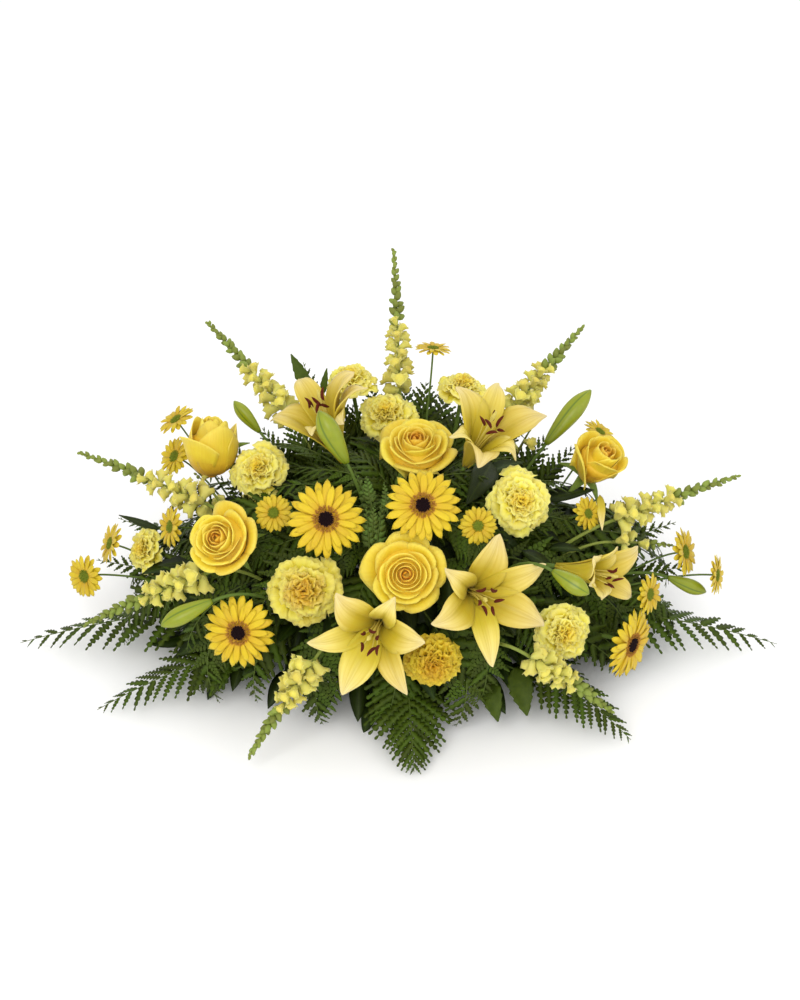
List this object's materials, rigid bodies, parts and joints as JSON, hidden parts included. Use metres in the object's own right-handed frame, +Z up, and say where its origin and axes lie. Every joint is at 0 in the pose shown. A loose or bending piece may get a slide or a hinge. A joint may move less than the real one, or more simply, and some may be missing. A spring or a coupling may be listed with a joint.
{
  "type": "casket spray",
  "caption": "Low wide casket spray of yellow roses, lilies, gerberas, carnations, daisies and snapdragons with fern, in foam on a saddle tray.",
  "frame": {"origin": "middle of the saddle tray's flat underside", "axes": "+Z up, +X to the viewer's right along the spray's length, -Y to the front"},
  "size_m": [0.8999, 0.5812, 0.331],
  "materials": {
    "rose_petals": "matte velvety petals, warm yellow, deeper orange yellow in the heart",
    "gerbera_rays": "satin ray petals, bright yellow",
    "gerbera_disc": "rough dark brown disc with an orange ring",
    "carnation_petals": "matte ruffled petals, pale lemon yellow",
    "pompon_petals": "matte golden yellow petals",
    "lily_tepals": "waxy satin tepals, yellow with peach tips, brown anthers",
    "daisy_spray": "satin yellow rays on a green stem",
    "snapdragon_spire": "matte pale yellow florets and green buds",
    "fern_leaf": "satin deep green leaflets",
    "greens": "satin green leaves, stems and buds",
    "foam": "matte dark green floral foam, soaked with water",
    "tray": "moulded dark green plastic"
  },
  "bodies": {
    "root": {"rose_upper_left": "rose_petals", "rose_left": "rose_petals", "rose_top": "rose_petals", "rose_front": "rose_petals", "rose_upper_right": "rose_petals", "rose_back": "rose_petals", "gerbera_upper_left": "gerbera_rays", "gerbera_upper_left_disc": "gerbera_disc", "gerbera_centre": "gerbera_rays", "gerbera_centre_disc": "gerbera_disc", "gerbera_lower_left": "gerbera_rays", "gerbera_lower_left_disc": "gerbera_disc", "gerbera_lower_right": "gerbera_rays", "gerbera_lower_right_disc": "gerbera_disc", "carnation_upper_left": "carnation_petals", "carnation_top": "carnation_petals", "carnation_top_left": "carnation_petals", "carnation_top_right": "carnation_petals", "carnation_right": "carnation_petals", "carnation_front_left": "carnation_petals", "carnation_left": "carnation_petals", "carnation_lower_right": "carnation_petals", "carnation_back_left": "carnation_petals", "carnation_back_right": "carnation_petals", "pompon_front": "pompon_petals", "lily_top_left": "lily_tepals", "lily_top_right": "lily_tepals", "lily_front_left": "lily_tepals", "lily_front_right": "lily_tepals", "lily_right": "lily_tepals", "daisies_far_left": "daisy_spray", "daisies_upper_left": "daisy_spray", "daisy_left": "daisy_spray", "daisy_centre": "daisy_spray", "daisy_top": "daisy_spray", "daisies_upper_right": "daisy_spray", "daisies_far_right": "daisy_spray", "daisies_back": "daisy_spray", "snapdragon_top": "snapdragon_spire", "snapdragon_upper_left": "snapdragon_spire", "snapdragon_upper_right": "snapdragon_spire", "snapdragon_left": "snapdragon_spire", "snapdragon_right": "snapdragon_spire", "snapdragon_low_left": "snapdragon_spire", "snapdragon_front_left": "snapdragon_spire", "snapdragon_front_right": "snapdragon_spire", "fern_left": "fern_leaf", "fern_front_left": "fern_leaf", "fern_front": "fern_leaf", "fern_front_right": "fern_leaf", "fern_right": "fern_leaf", "fern_back_left": "fern_leaf", "fern_back": "fern_leaf", "fern_back_right": "fern_leaf", "greens": "greens", "saddle_tray": "tray", "floral_foam": "foam"}
  },
  "joints": []
}
